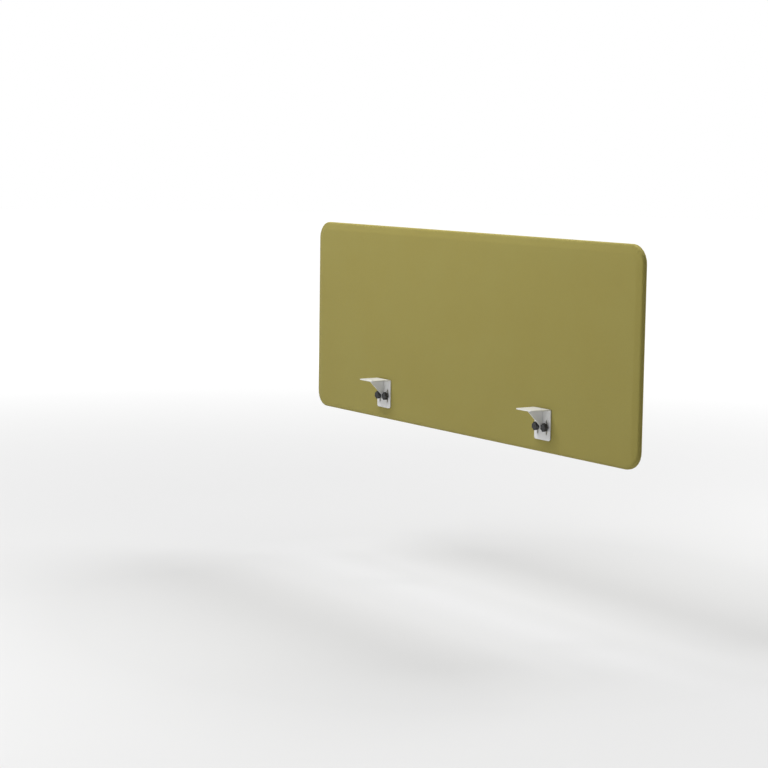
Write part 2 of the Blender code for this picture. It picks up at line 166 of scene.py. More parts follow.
def section(width, share):
    """Inset and depth of the soft edge: a rounded nose to half share, then a gentle slope up to the face."""
    if share < 0.5:
        angle = math.pi * share
        inset = NOSE * (1 - math.cos(angle) ** (2 / FULLNESS))
        depth = HALF * math.sin(angle) ** (2 / FULLNESS)
    else:
        inset = NOSE + (width + FOLD - NOSE) * (2 * share - 1)
        depth = HALF
    short = width - inset
    if short > -FOLD:
        # the slope and the face meet in a fold with a parabola's roundness
        lack = short if short > FOLD else (short + FOLD) ** 2 / (4 * FOLD)
        depth *= 1 - SLOPE * lack / HALF
    return inset, depth


def roll(width, share):
    """The soft edge's inset and depth at a share of the way in, and its outward normal in those two."""
    inset, depth = section(width, share)
    before = section(width, max(share - 0.0005, 0.0))
    after = section(width, min(share + 0.0005, 1.0))
    along, up = after[0] - before[0], after[1] - before[1]
    size = math.hypot(along, up)
    return inset, depth, -up / size, along / size


def share_at(width, depth):
    """The share of the soft edge at which it has this depth."""
    low, high = 0.0, 0.5
    for _ in range(40):
        middle = (low + high) / 2
        if section(width, middle)[1] < depth:
            low = middle
        else:
            high = middle
    return low


def swell(side, x, z):
    """How far the stretched face stands proud of flat, or dips."""
    high = 0.0
    for height, waves, layer in UNEVEN:
        high += height * noise.noise(Vector((x * waves, z * waves, layer * side)))
    if side < 0:
        clear = max(abs(abs(x) - FLAT_MIDDLE) - FLAT_HALF, z - FLAT_HIGH)
        high *= smooth(0.0, FLAT_FADE, clear)
    return high


def gather(side, place, roll_share):
    """Small gathers of the fabric where it is drawn round the edge."""
    deep = WRINKLE * noise.noise(Vector((place.length * WRINKLES, 3.1 * side, 0.5)))
    if place.share is not None:
        tuck = math.cos(2 * math.pi * TUCKS * place.share + 0.9 * side + place.i + place.k)
        deep += TUCK * math.sin(math.pi * place.share) * tuck
    return deep * math.sin(math.pi * roll_share) ** 2


def open_at(place):
    """Whether the cover is open here, along the zip."""
    on_bottom = place.way[1] < -0.999 and place.k == 0
    return on_bottom and abs(GRID_X[place.i]) < ZIP_END + 0.001


def roll_width(place):
    """The soft edge's width, which is less along the bottom."""
    below = smooth(0.0, 1.0, max(-place.way[1], 0.0))
    return SLOPE_WIDE + (SLOPE_AT_ZIP - SLOPE_WIDE) * below


def point_at(place, inset):
    """X and Z of the point this far in from the outline."""
    reach = CORNER - inset
    return GRID_X[place.i] + place.way[0] * reach, GRID_Z[place.k] + place.way[1] * reach


# three rings where the sheet turns over at its edge: (inset, depth) of the outside and of the inside
SEAM = (
    ((0.0014, 0.00015), (0.0024, 0.00015)),
    ((0.00055, 0.0005), (0.00175, 0.0006)),
    ((0.00012, 0.0011), (0.0012, 0.0013)),
)
HEM = (
    ((0.00125, SLOT_HALF), (0.00175, SLOT_HALF)),
    ((0.0006, SLOT_HALF + 0.0001), (0.0016, SLOT_HALF + 0.0001)),
    ((0.0003, SLOT_HALF + 0.0003), (0.00135, SLOT_HALF + 0.0003)),
)


def edge_rings(side, outer, inner, start):
    """For each ring from the edge in, a function of the place: (inset, depth) outside and inside."""

    def rolled(share):
        def at(place):
            width = roll_width(place)
            first = start
            if first is None:
                first = share_at(width, HEM_TURN if open_at(place) else SEAM_TURN)
            at_share = first + (1 - first) * share
            inset, depth, a, b = roll(width, at_share)
            out = gather(side, place, at_share) - outer
            outside = (inset + a * out, depth + b * out)
            if inner is None:
                return outside, (inset + a * (out - FABRIC), depth + b * (out - FABRIC))
            return outside, (inset + a * out, inner)

        return at

    def flat(share):
        def at(place):
            width = roll_width(place)
            inset = width + FOLD + (CORNER - width - FOLD) * share
            x, z = point_at(place, inset)
            depth = HALF + swell(side, x, z) * smooth(0.0, 1.0, share) - outer
            return (inset, depth), (inset, depth - FABRIC if inner is None else inner)

        return at

    def edge(index):
        return lambda place: (HEM if open_at(place) else SEAM)[index]

    rings = [edge(index) for index in range(len(SEAM))] if start is None else []
    rings += [rolled(share) for share in ROLL_SHARES]
    rings += [flat(share) for share in FLAT_SHARES]
    return rings


def hole_centres():
    """Grid column and row of each clamp's hole."""
    row = min(range(len(GRID_Z)), key=lambda k: abs(GRID_Z[k] - CLAMP_Z))
    columns = [min(range(len(GRID_X)), key=lambda i: abs(GRID_X[i] - x)) for x in CLAMP_X.values()]
    return {(column, row) for column in columns}


def join_to_grid(bm, ring, grid):
    """Faces from the last ring of the edge to the rim of the grid, which is one point at each corner."""
    count = len(PERIMETER)
    for m in range(count):
        n = (m + 1) % count
        here, after = grid[PERIMETER[m][:2]], grid[PERIMETER[n][:2]]
        corners = [ring[m], ring[n], after]
        if here is not after:
            corners.append(here)
        bm.faces.new(corners)


def cut_hole(bm, i, k, grids, vertex):
    """A round hole through both layers of a sheet, in the four grid squares round one grid point."""
    ways = ((1, 0), (1, 1), (0, 1), (-1, 1), (-1, 0), (-1, -1), (0, -1), (1, -1))
    span = HOLE_POINTS // len(ways)
    walls = []
    for layer, grid in enumerate(grids):
        circles = []
        for radius in (HOLE_RADIUS, HOLE_RADIUS + HOLE_RIM):
            circle = []
            for step in range(HOLE_POINTS):
                angle = 2 * math.pi * step / HOLE_POINTS
                x = GRID_X[i] + radius * math.cos(angle)
                z = GRID_Z[k] + radius * math.sin(angle)
                circle.append(vertex(layer, x, z))
            circles.append(circle)
        skin(bm, circles)
        wall, rim = circles
        walls.append(wall)
        square = [grid[i + di, k + dk] for di, dk in ways]
        for j, corner in enumerate(square):
            last = span * j + span // 2
            for t in range(last - span, last):
                bm.faces.new((corner, rim[t % HOLE_POINTS], rim[(t + 1) % HOLE_POINTS]))
            bm.faces.new((corner, rim[last % HOLE_POINTS], square[(j + 1) % len(ways)]))
    skin(bm, walls)


def soft_half(name, side, outer=0.0, inner=None, start=None, holes=False):
    """A closed sheet that follows the soft face: side is -1 for the front and 1 for the rear.

    It lies this far (outer) under the cover's outside, and its inside is flat at the depth inner, or
    follows one fabric thickness below. It begins at the seam, or at the share start of the soft edge.
    """
    bm = bmesh.new()

    def face_vertex(layer, x, z):
        depth = HALF + swell(side, x, z) - outer
        if layer == 1:
            depth = depth - FABRIC if inner is None else inner
        return bm.verts.new((x, MIDDLE_Y + side * depth, z))

    layers = ([], [])
    for ring in edge_rings(side, outer, inner, start):
        rows = ([], [])
        for place in PERIMETER:
            for row, (inset, depth) in zip(rows, ring(place)):
                x, z = point_at(place, inset)
                row.append(bm.verts.new((x, MIDDLE_Y + side * depth, z)))
        for layer, row in zip(layers, rows):
            layer.append(row)

    centres = hole_centres() if holes else set()
    grids = ({}, {})
    for layer, grid in enumerate(grids):
        for i, x in enumerate(GRID_X):
            for k, z in enumerate(GRID_Z):
                if (i, k) not in centres:
                    grid[i, k] = face_vertex(layer, x, z)

    for rows, grid in zip(layers, grids):
        skin(bm, rows)
        join_to_grid(bm, rows[-1], grid)
        for i in range(LAST_X):
            for k in range(LAST_Z):
                corners = [(i, k), (i + 1, k), (i + 1, k + 1), (i, k + 1)]
                if not centres & set(corners):
                    bm.faces.new([grid[corner] for corner in corners])
    skin(bm, (layers[0][0], layers[1][0]))
    for i, k in sorted(centres):
        cut_hole(bm, i, k, grids, face_vertex)
    return finished(name, bm)


# ---------------------------------------------------------------- making objects
def finished(name, bm, sharp=None):
    """An object from a bmesh, its normals outwards and its faces smooth."""
    bmesh.ops.recalc_face_normals(bm, faces=bm.faces)
    mesh = bpy.data.meshes.new(name)
    bm.to_mesh(mesh)
    bm.free()
    mesh.polygons.foreach_set("use_smooth", [True] * len(mesh.polygons))
    if sharp is not None:
        mesh.set_sharp_from_angle(angle=math.radians(sharp))
    obj = bpy.data.objects.new(name, mesh)
    bpy.context.scene.collection.objects.link(obj)
    return obj


def paint(obj, material):
    obj.data.materials.clear()
    obj.data.materials.append(material)
    return obj


def place_piece(obj, material, body, slot, *replaced):
    paint(obj, material)
    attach(obj, body)
    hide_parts(*replaced)
    return obj


SOFTENED = 35  # degrees between two faces, from which their edge is softened


def copied(name, node, bevel, segments=3):
    """A copy of a CAD node with its flat faces whole and its edges softened."""
    bm = bmesh.new()
    bm.from_mesh(nodes[node].data)
    bmesh.ops.remove_doubles(bm, verts=bm.verts, dist=1e-6)
    bmesh.ops.dissolve_limit(bm, angle_limit=math.radians(0.5), verts=bm.verts, edges=bm.edges)
    steep = math.radians(SOFTENED)
    bmesh.ops.bevel(
        bm,
        geom=[e for e in bm.edges if len(e.link_faces) == 2 and e.calc_face_angle(0) > steep],
        offset=bevel,
        offset_type="OFFSET",
        segments=segments,
        profile=0.5,
        affect="EDGES",
        clamp_overlap=True,
    )
    obj = finished(name, bm)
    even = obj.modifiers.new("even normals", "WEIGHTED_NORMAL")
    even.keep_sharp = True
    even.weight = 100
    return obj


def spun(bm, centre, rings, points, lobes):
    """Closed skin through rings of (depth, radius, lobe depth) round a front to back axis.

    A radius of 0 closes an end.
    """
    rows = []
    for depth, radius, lobe in rings:
        if radius == 0:
            rows.append([bm.verts.new((centre[0], MIDDLE_Y - depth, centre[1]))])
            continue
        row = []
        for step in range(points):
            angle = 2 * math.pi * step / points
            r = radius - lobe * (1 - math.cos(lobes * angle)) / 2
            x, z = centre[0] + r * math.cos(angle), centre[1] + r * math.sin(angle)
            row.append(bm.verts.new((x, MIDDLE_Y - depth, z)))
        rows.append(row)
    skin(bm, rows)


def skin(bm, rows):
    """Faces from each closed row of points to the next; a row of one point closes an end."""
    for a, b in zip(rows, rows[1:]):
        if len(a) == 1 and len(b) == 1:
            continue
        count = max(len(a), len(b))
        for m in range(count):
            n = (m + 1) % count
            if len(a) == 1:
                bm.faces.new((a[0], b[n], b[m]))
            elif len(b) == 1:
                bm.faces.new((a[m], a[n], b[0]))
            else:
                bm.faces.new((a[m], a[n], b[n], b[m]))


# ---------------------------------------------------------------- materials
class Nodes:
    """Short names for the nodes of one material."""

    def __init__(self, name):
        self.material = bpy.data.materials.new(name)
        self.material.use_nodes = True
        self.tree = self.material.node_tree
        self.shader = self.tree.nodes["Principled BSDF"]

    def add(self, kind, **settings):
        node = self.tree.nodes.new(kind)
        for key, value in settings.items():
            setattr(node, key, value)
        return node

    def put(self, socket, value):
        if isinstance(value, bpy.types.NodeSocket):
            self.tree.links.new(value, socket)
        else:
            socket.default_value = value

    def math(self, operation, *values):
        node = self.add("ShaderNodeMath", operation=operation)
        for socket, value in zip(node.inputs, values):
            self.put(socket, value)
        return node.outputs[0]

    def place(self):
        return self.add("ShaderNodeTexCoord").outputs["Object"]

    def stretched(self, vector, scale):
        node = self.add("ShaderNodeMapping")
        self.put(node.inputs["Vector"], vector)
        node.inputs["Scale"].default_value = scale
        return node.outputs[0]

    def noise(self, vector, scale, detail=2.0, roughness=0.5):
        node = self.add("ShaderNodeTexNoise")
        self.put(node.inputs["Vector"], vector)
        node.inputs["Scale"].default_value = scale
        node.inputs["Detail"].default_value = detail
        node.inputs["Roughness"].default_value = roughness
        return node.outputs["Fac"]

    def ranged(self, value, low, high, from_low=0.0, from_high=1.0):
        node = self.add("ShaderNodeMapRange")
        self.put(node.inputs["Value"], value)
        node.inputs["From Min"].default_value = from_low
        node.inputs["From Max"].default_value = from_high
        node.inputs["To Min"].default_value = low
        node.inputs["To Max"].default_value = high
        return node.outputs["Result"]

    def mixed(self, share, a, b):
        node = self.add("ShaderNodeMix", data_type="RGBA")
        self.put(node.inputs[0], share)
        self.put(node.inputs[6], a if isinstance(a, bpy.types.NodeSocket) else (*a, 1))
        self.put(node.inputs[7], b if isinstance(b, bpy.types.NodeSocket) else (*b, 1))
        return node.outputs[2]

    def scaled(self, colour, factor):
        node = self.add("ShaderNodeVectorMath", operation="SCALE")
        self.put(node.inputs[0], colour)
        self.put(node.inputs["Scale"], factor)
        return node.outputs[0]

    def bump(self, height, distance, strength=1.0):
        node = self.add("ShaderNodeBump")
        node.inputs["Strength"].default_value = strength
        node.inputs["Distance"].default_value = distance
        self.put(node.inputs["Height"], height)
        return node.outputs["Normal"]

    def set(self, **values):
        names = {
            "colour": "Base Color",
            "roughness": "Roughness",
            "metallic": "Metallic",
            "specular": "Specular IOR Level",
            "sheen": "Sheen Weight",
            "sheen_roughness": "Sheen Roughness",
            "normal": "Normal",
        }
        for key, value in values.items():
            if isinstance(value, tuple) and len(value) == 3:
                value = (*value, 1)
            self.put(self.shader.inputs[names[key]], value)
        return self.material


# how deep the weave is counted round the edge; whole threads fit in it, so the pattern doesn't jump
WRAP = 0.0125
CLOTH_THREAD = 2 * WRAP / 28
CLOTH_MOTTLE = 0.10
CLOTH_FLECK = 0.06
CLOTH_ROUGHNESS = 0.9
MARK_DEPTH = 0.00002


def woven(name, colour, thread, depth, sheen):
    """Plain weave cloth: threads pass over and under each other across the face."""
    n = Nodes(name)
    place = n.place()
    split = n.add("ShaderNodeSeparateXYZ")
    n.put(split.inputs[0], place)
    x, y, z = split.outputs
    waver = n.noise(place, 60.0, 2.0)
    waver = n.math("MULTIPLY", n.math("SUBTRACT", waver, 0.5), thread * 0.9)
    # the threads follow the cloth round the edge: each half of the face counts its depth outwards
    depth_here = n.math("MINIMUM", n.math("ABSOLUTE", n.math("SUBTRACT", y, MIDDLE_Y)), WRAP)
    half_x = n.math("SIGN", n.math("SUBTRACT", 0.0, x))
    half_z = n.math("SIGN", n.math("SUBTRACT", (TOP + BOTTOM) / 2, z))
    flat_x = n.math("MULTIPLY_ADD", half_x, depth_here, x)
    flat_z = n.math("MULTIPLY_ADD", half_z, depth_here, z)
    across = n.math("DIVIDE", n.math("ADD", flat_x, waver), thread)
    along = n.math("DIVIDE", n.math("ADD", flat_z, waver), thread)
    over_x = n.math("SINE", n.math("MULTIPLY", n.math("FRACT", across), math.pi))
    over_z = n.math("SINE", n.math("MULTIPLY", n.math("FRACT", along), math.pi))
    warp = n.math("MULTIPLY", over_x, n.math("MULTIPLY_ADD", over_z, 0.5, 0.5))
    weft = n.math("MULTIPLY", over_z, n.math("MULTIPLY_ADD", over_x, 0.5, 0.5))
    cell = n.math("ADD", n.math("FLOOR", across), n.math("FLOOR", along))
    turn = n.math("FLOORED_MODULO", cell, 2.0)
    height = n.math(
        "ADD",
        n.math("MULTIPLY", warp, turn),
        n.math("MULTIPLY", weft, n.math("SUBTRACT", 1.0, turn)),
    )
    fibre = n.noise(place, 5200.0, 2.0, 0.6)
    height = n.math("MULTIPLY_ADD", fibre, 0.35, height)
    yarn = n.noise(n.stretched(place, (140, 140, 900)), 1.0, 3.0, 0.6)
    yarn_up = n.noise(n.stretched(place, (900, 140, 140)), 1.0, 3.0, 0.6)
    broad = n.noise(place, 4.0, 3.0, 0.55)
    tone = n.math("MULTIPLY_ADD", n.math("SUBTRACT", broad, 0.5), CLOTH_MOTTLE, 1.0)
    flecks = n.math("SUBTRACT", n.math("ADD", yarn, yarn_up), 1.0)
    tone = n.math("MULTIPLY_ADD", flecks, CLOTH_FLECK * 2, tone)
    # painted shade and highlight: the colour darkens to 0.80 in the hollows between the threads and lightens
    # a little, to 1.06, on their crowns
    valley_shade = n.ranged(height, 0.80, 1.06)
    tone = n.math("MULTIPLY", tone, valley_shade)
    red, green, blue = colour
    cooler = (red * 0.985, green * 1.0, blue * 1.04)
    base = n.mixed(n.ranged(broad, 0.0, 1.0, 0.35, 0.65), colour, cooler)
    return n.set(
        colour=n.scaled(base, tone),
        roughness=n.ranged(fibre, CLOTH_ROUGHNESS - 0.06, CLOTH_ROUGHNESS + 0.06),
        specular=0.15,
        sheen=sheen,
        sheen_roughness=0.55,
        normal=n.bump(height, depth),
    )


def coated(name, colour, roughness, grain, depth, shift=0.03):
    """Powder coat or moulded plastic with a fine even grain."""
    n = Nodes(name)
    place = n.place()
    fine = n.noise(place, grain, 3.0, 0.55)
    broad = n.noise(place, 14.0, 3.0, 0.5)
    tone = n.math("MULTIPLY_ADD", n.math("SUBTRACT", broad, 0.5), shift * 2, 1.0)
    darker = tuple(c * 0.97 for c in colour)
    lighter = tuple(c * 1.03 for c in colour)
    return n.set(
        colour=n.scaled(n.mixed(fine, darker, lighter), tone),
        roughness=n.ranged(fine, roughness - 0.06, roughness + 0.06, 0.3, 0.7),
        specular=0.5,
        normal=n.bump(fine, depth),
    )


def metal(name, colour, roughness, stretch):
    """Bare metal with machining marks drawn out along one way."""
    n = Nodes(name)
    place = n.place()
    marks = n.noise(n.stretched(place, stretch), 1.0, 3.0, 0.6)
    stain = n.noise(place, 90.0, 3.0, 0.6)
    darker = tuple(c * 0.86 for c in colour)
    return n.set(
        colour=n.mixed(n.ranged(stain, 0.0, 1.0, 0.3, 0.7), colour, darker),
        roughness=n.ranged(marks, roughness - 0.08, roughness + 0.12, 0.3, 0.7),
        metallic=1.0,
        normal=n.bump(marks, MARK_DEPTH),
    )


def pressed_board(name):
    """Wood particles pressed into a board."""
    n = Nodes(name)
    place = n.place()
    chips = n.add("ShaderNodeTexVoronoi", feature="F1")
    n.put(chips.inputs["Vector"], n.stretched(place, (260, 420, 520)))
    chips.inputs["Scale"].default_value = 1.0
    grain = n.noise(n.stretched(place, (60, 900, 900)), 1.0, 4.0, 0.6)
    tone = n.ranged(chips.outputs["Distance"], 0.0, 1.0)
    base = n.mixed(tone, (0.50, 0.34, 0.19), (0.30, 0.19, 0.10))
    return n.set(
        colour=n.mixed(n.ranged(grain, 0.0, 0.7), base, (0.58, 0.42, 0.25)),
        roughness=0.75,
        normal=n.bump(chips.outputs["Distance"], 0.0003, 0.5),
    )


def cellular(name, colour):
    """Open foam with small round cells, with painted shade in their hollows."""
    n = Nodes(name)
    place = n.place()
    cells = n.add("ShaderNodeTexVoronoi", feature="SMOOTH_F1")
    n.put(cells.inputs["Vector"], place)
    cells.inputs["Scale"].default_value = 1100.0
    depth = cells.outputs["Distance"]
    return n.set(
        # painted shade: the colour darkens to 0.72 towards the bottom of each cell, where the bump is lowest
        colour=n.mixed(depth, tuple(c * 0.72 for c in colour), colour),
        roughness=0.95,
        specular=0.2,
        normal=n.bump(depth, 0.0003, 0.8),
    )


OLIVE = (0.285, 0.242, 0.060)
cloth = woven("wool_cloth", OLIVE, thread=CLOTH_THREAD, depth=0.00016, sheen=0.06)
foam_grey = cellular("open_foam", (0.62, 0.60, 0.55))
board_stuff = pressed_board("pressed_board")
white_coat = coated("powder_coat_white", (0.70, 0.70, 0.69), 0.46, 1500.0, 0.00003)
black_nylon = coated("black_nylon", (0.028, 0.028, 0.030), 0.52, 2600.0, 0.00003, shift=0.08)
bright_steel = metal("bright_steel", (0.58, 0.58, 0.57), 0.30, (300, 2600, 300))
zinc = metal("zinc_plate", (0.62, 0.63, 0.64), 0.34, (900, 900, 900))
brass = metal("turned_brass", (0.72, 0.53, 0.24), 0.28, (300, 3000, 300))
tape_cloth = woven("zip_tape_cloth", (0.215, 0.185, 0.055), thread=0.0006, depth=0.00010, sheen=0.05)
coil_nylon = coated("zip_coil_nylon", (0.170, 0.150, 0.048), 0.42, 3000.0, 0.00001, shift=0.06)
thread_stuff = woven("sewing_thread", (0.360, 0.315, 0.120), thread=0.0004, depth=0.00008, sheen=0.05)

# ---------------------------------------------------------------- the panel: cover, foam and board
for side, word in ((-1, "front"), (1, "rear")):
    cover = soft_half(f"cover_{word}", side, holes=side < 0)
    place_piece(cover, cloth, "panel", "fabric", f"{word}_cover")
    foam = soft_half(
        f"foam_{word}",
        side,
        outer=FABRIC + GAP,
        inner=FOAM_BACK,
        start=0.5,
        holes=side < 0,
    )
    place_piece(foam, foam_grey, "panel", "foam", f"{word}_foam")


STRIP_SHARES = (-0.16, -0.12, -0.07, -0.03, 0.03, 0.07, 0.12, 0.16)
STRIP_HALF = 0.0066  # half the strip's thickness over the board's edge
STRIP_FLAT = 0.0036  # half its flat against the board's edge
STRIP_CHAMFER = 0.0006


def edge_strip():
    """Foam between the board's edge and the cover, from one bottom corner over the top to the other."""
    bm = bmesh.new()
    rows = []
    first = next(m for m, place in enumerate(PERIMETER) if place.way == (1.0, 0.0))
    last = max(m for m, place in enumerate(PERIMETER) if place.way == (-1.0, 0.0))
    under = FABRIC + GAP
    for place in PERIMETER[first : last + 1]:
        width = roll_width(place)
        outline = []
        for at_share in STRIP_SHARES:
            inset, depth, a, b = roll(width, abs(at_share))
            outline.append((inset - a * under, math.copysign(1, at_share) * (depth - b * under)))
        outline.append((BOARD_INSET + STRIP_CHAMFER, STRIP_HALF))
        outline += [(BOARD_INSET - GAP, STRIP_FLAT), (BOARD_INSET - GAP, -STRIP_FLAT)]
        outline.append((BOARD_INSET + STRIP_CHAMFER, -STRIP_HALF))
        row = []
        for inset, depth in outline:
            x, z = point_at(place, inset)
            row.append(bm.verts.new((x, MIDDLE_Y + depth, z)))
        rows.append(row)
    skin(bm, rows)
    bm.faces.new(rows[0])
    bm.faces.new(rows[-1])
    return finished("foam_edge", bm, sharp=40)


strip = edge_strip()
place_piece(strip, foam_grey, "panel", "foam", "edge_foam")
paint(nodes["core_board"], board_stuff)

# ---------------------------------------------------------------- brackets, clamps and knobs
for word in ("left", "right"):
    plate = copied(f"bracket_plate_{word}", f"bracket_{word}", 0.00045)
    place_piece(plate, white_coat, "brackets", "powder_coat", f"bracket_{word}")
    rib = copied(f"bracket_gusset_{word}", f"bracket_rib_{word}", 0.0005)
    place_piece(rib, white_coat, "brackets", "powder_coat", f"bracket_rib_{word}")

knob_low, knob_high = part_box("knob_left_outer")
stud_low, stud_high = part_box("stud_left_outer")
KNOB_BACK, KNOB_FACE = MIDDLE_Y - knob_high.y, MIDDLE_Y - knob_low.y
STUD_BACK, STUD_FACE = MIDDLE_Y - stud_high.y, MIDDLE_Y - stud_low.y
STUD_RADIUS = (stud_high.x - stud_low.x) / 2
KNOB_RADIUS = 0.0140
BORE = STUD_RADIUS + GAP
LOBES = 7
LOBE_POINTS = 12
THREAD_PITCH = 0.001
THREAD_DEPTH = 0.00052
THREAD_STEP = 0.00014
TIP_CHAMFER = 0.0007
TIP_LENGTH = 0.0009
HEAD_CHAMFER = 0.0004
HEAD_LENGTH = 0.0005


def grip(name, centre):
    """A seven lobed hand knob with a hub, a soft rim and a dished face."""
    back, face, full = KNOB_BACK, KNOB_FACE, KNOB_RADIUS
    rings = [
        (STUD_FACE + GAP, 0, 0),
        (STUD_FACE + GAP, BORE, 0),
        (back + 0.0004, BORE, 0),
        (back, BORE + 0.0004, 0),
        (back, 0.0068, 0),
        (back + 0.0003, 0.0073, 0),
        (back + 0.0016, 0.0075, 0),
        (back + 0.0019, 0.0079, 0),
        (back + 0.0017, 0.0105, 0.0003),
        (back + 0.0018, 0.0124, 0.0012),
        (back + 0.0023, 0.0134, 0.0019),
        (back + 0.0032, 0.0139, 0.0023),
        (back + 0.0045, full, 0.0024),
        (back + 0.0085, full, 0.0024),
        (face - 0.0030, 0.0139, 0.0024),
        (face - 0.0018, 0.0136, 0.0023),
        (face - 0.0009, 0.0129, 0.0020),
        (face - 0.0003, 0.0118, 0.0014),
        (face, 0.0104, 0.0008),
        (face - 0.0002, 0.0090, 0.0002),
        (face - 0.0008, 0.0080, 0),
        (face - 0.0012, 0.0068, 0),
        (face - 0.0012, 0.0040, 0),
        (face - 0.0009, 0.0018, 0),
        (face - 0.0008, 0, 0),
    ]
    bm = bmesh.new()
    spun(bm, centre, rings, LOBES * LOBE_POINTS, LOBES)
    return finished(name, bm, sharp=60)


def threaded(name, centre):
    """A screw with a helical thread, chamfered at its tip and plain inside the knob."""
    around = 24
    length = STUD_FACE - STUD_BACK
    count = round(length / THREAD_STEP)
    bm = bmesh.new()
    rows = [[bm.verts.new((centre[0], MIDDLE_Y - STUD_BACK, centre[1]))]]
    for r in range(count + 1):
        depth = STUD_BACK + length * r / count
        row = []
        for step in range(around):
            share = step / around
            turn = ((depth - STUD_BACK) / THREAD_PITCH + share) % 1.0
            groove = 1 - abs(2 * turn - 1)
            groove = min(max(groove * 1.25 - 0.12, 0.0), 1.0)
            outside = 1 - smooth(KNOB_BACK - THREAD_PITCH, KNOB_BACK, depth)
            cut = THREAD_DEPTH * (1 - groove) * outside
            tip = TIP_CHAMFER * (1 - smooth(0.0, TIP_LENGTH, depth - STUD_BACK))
            tip += HEAD_CHAMFER * smooth(STUD_FACE - HEAD_LENGTH, STUD_FACE, depth)
            radius = STUD_RADIUS - max(cut, tip)
            angle = 2 * math.pi * share
            x = centre[0] + radius * math.cos(angle)
            z = centre[1] + radius * math.sin(angle)
            row.append(bm.verts.new((x, MIDDLE_Y - depth, z)))
        rows.append(row)
    rows.append([bm.verts.new((centre[0], MIDDLE_Y - STUD_FACE, centre[1]))])
    skin(bm, rows)
    return finished(name, bm, sharp=50)


for clamp in CLAMPS:
    centre = (CLAMP_X[clamp], CLAMP_Z)
    knob = grip(f"knob_grip_{clamp}", centre)
    place_piece(knob, black_nylon, f"knob_{clamp}", "black_plastic", f"knob_{clamp}")
    screw = threaded(f"knob_screw_{clamp}", centre)
    place_piece(screw, zinc, f"knob_{clamp}", "zinc", f"stud_{clamp}")
    washer = copied(f"clamp_washer_{clamp}", f"washer_{clamp}", 0.00025, 2)
    place_piece(washer, zinc, f"washer_{clamp}", "zinc", f"washer_{clamp}")
    sleeve = copied(f"clamp_bush_{clamp}", f"bush_{clamp}", 0.0004, 2)
    place_piece(sleeve, bright_steel, "panel", "bright_steel", f"bush_{clamp}")
    paint(nodes[f"insert_{clamp}"], brass)

# ---------------------------------------------------------------- the zip along the bottom
TEETH_PITCH = 0.0020
teeth_low, teeth_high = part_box("zip_teeth_front")
TEETH_NEAR = MIDDLE_Y - teeth_high.y
TEETH_FAR = MIDDLE_Y - teeth_low.y
TEETH_Z = (teeth_low.z + teeth_high.z) / 2
TEETH_RISE = (teeth_high.z - teeth_low.z) / 2
# each section: share of the way from root to head, half width along the zip, share of the half height
TOOTH = (
    (0.0, 0.00040, 0.62),
    (0.30, 0.00042, 0.74),
    (0.62, 0.00062, 0.96),
    (0.85, 0.00066, 1.0),
    (1.0, 0.00042, 0.72),
)
HEXAGON = 1.15  # a hexagon's radius over half its width across the flats
SIX = [(math.cos(math.radians(30 + 60 * s)), math.sin(math.radians(30 + 60 * s))) for s in range(6)]


def coil(name, side):
    """One side's row of teeth along the zip."""
    bm = bmesh.new()
    count = int((teeth_high.x - teeth_low.x - 0.002) / TEETH_PITCH)
    start = (teeth_low.x + teeth_high.x) / 2 - (count - 1) * TEETH_PITCH / 2
    start += side * TEETH_PITCH / 4
    for tooth in range(count):
        x = start + tooth * TEETH_PITCH
        rows = []
        for share, wide, high in TOOTH:
            y = MIDDLE_Y + side * (TEETH_FAR + (TEETH_NEAR - TEETH_FAR) * share)
            row = []
            for c, s in SIX:
                row.append(bm.verts.new((x + wide * c * HEXAGON, y, TEETH_Z + TEETH_RISE * high * s)))
            rows.append(row)
        skin(bm, rows)
        bm.faces.new(rows[0])
        bm.faces.new(rows[-1])
    return finished(name, bm)


for side, word in ((-1, "front"), (1, "rear")):
    teeth = coil(f"zip_coil_{word}", side)
    place_piece(teeth, coil_nylon, "panel", "zip_teeth", f"zip_teeth_{word}")
    band = copied(f"zip_band_{word}", f"zip_tape_{word}", 0.00012, 2)
    place_piece(band, tape_cloth, "panel", "zip_tape", f"zip_tape_{word}")
for word in ("left", "right"):
    stop = copied(f"zip_end_{word}", f"zip_stop_{word}", 0.0003, 3)
    place_piece(stop, bright_steel, "panel", "bright_steel", f"zip_stop_{word}")
runner = copied("zip_runner", "zip_slider", 0.0002, 2)
place_piece(runner, zinc, "slider", "zinc", "zip_slider")


STITCH_PITCH = 0.0042
STITCH_HALF = 0.0015  # half the length
STITCH_THICK = 0.00030
STITCH_SINK = 0.00012  # how far the ends go down into the cloth
STITCH_DEPTH = SLOT_HALF + 0.0017
# share of the half length, share of the thickness
STITCH = ((-0.86, 0.6), (-0.5, 1.0), (0.5, 1.0), (0.86, 0.6))


def stitches(name, side):
    """A row of lock stitches that holds the zip tape to the cover's hem."""
    bm = bmesh.new()
    inset, depth, *_ = roll(SLOPE_AT_ZIP, share_at(SLOPE_AT_ZIP, STITCH_DEPTH))
    y = MIDDLE_Y + side * depth
    z = BOTTOM + inset + 0.00005
    count = int(2 * ZIP_END / STITCH_PITCH)
    for index in range(count):
        x = -(count - 1) * STITCH_PITCH / 2 + index * STITCH_PITCH
        rows = [[bm.verts.new((x - STITCH_HALF, y, z + STITCH_SINK))]]
        for share, scale in STITCH:
            middle_z = z + STITCH_SINK * abs(share) ** 4
            radius = STITCH_THICK * scale
            row = []
            for c, s in SIX:
                row.append(bm.verts.new((x + share * STITCH_HALF, y + radius * c, middle_z + radius * s)))
            rows.append(row)
        rows.append([bm.verts.new((x + STITCH_HALF, y, z + STITCH_SINK))])
        skin(bm, rows)
    return finished(name, bm)


for side, word in ((-1, "front"), (1, "rear")):
    row = stitches(f"hem_stitches_{word}", side)
    paint(row, thread_stuff)
    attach(row, "panel")

# ---------------------------------------------------------------- floor, lights and camera
FLOOR_Z = -0.575
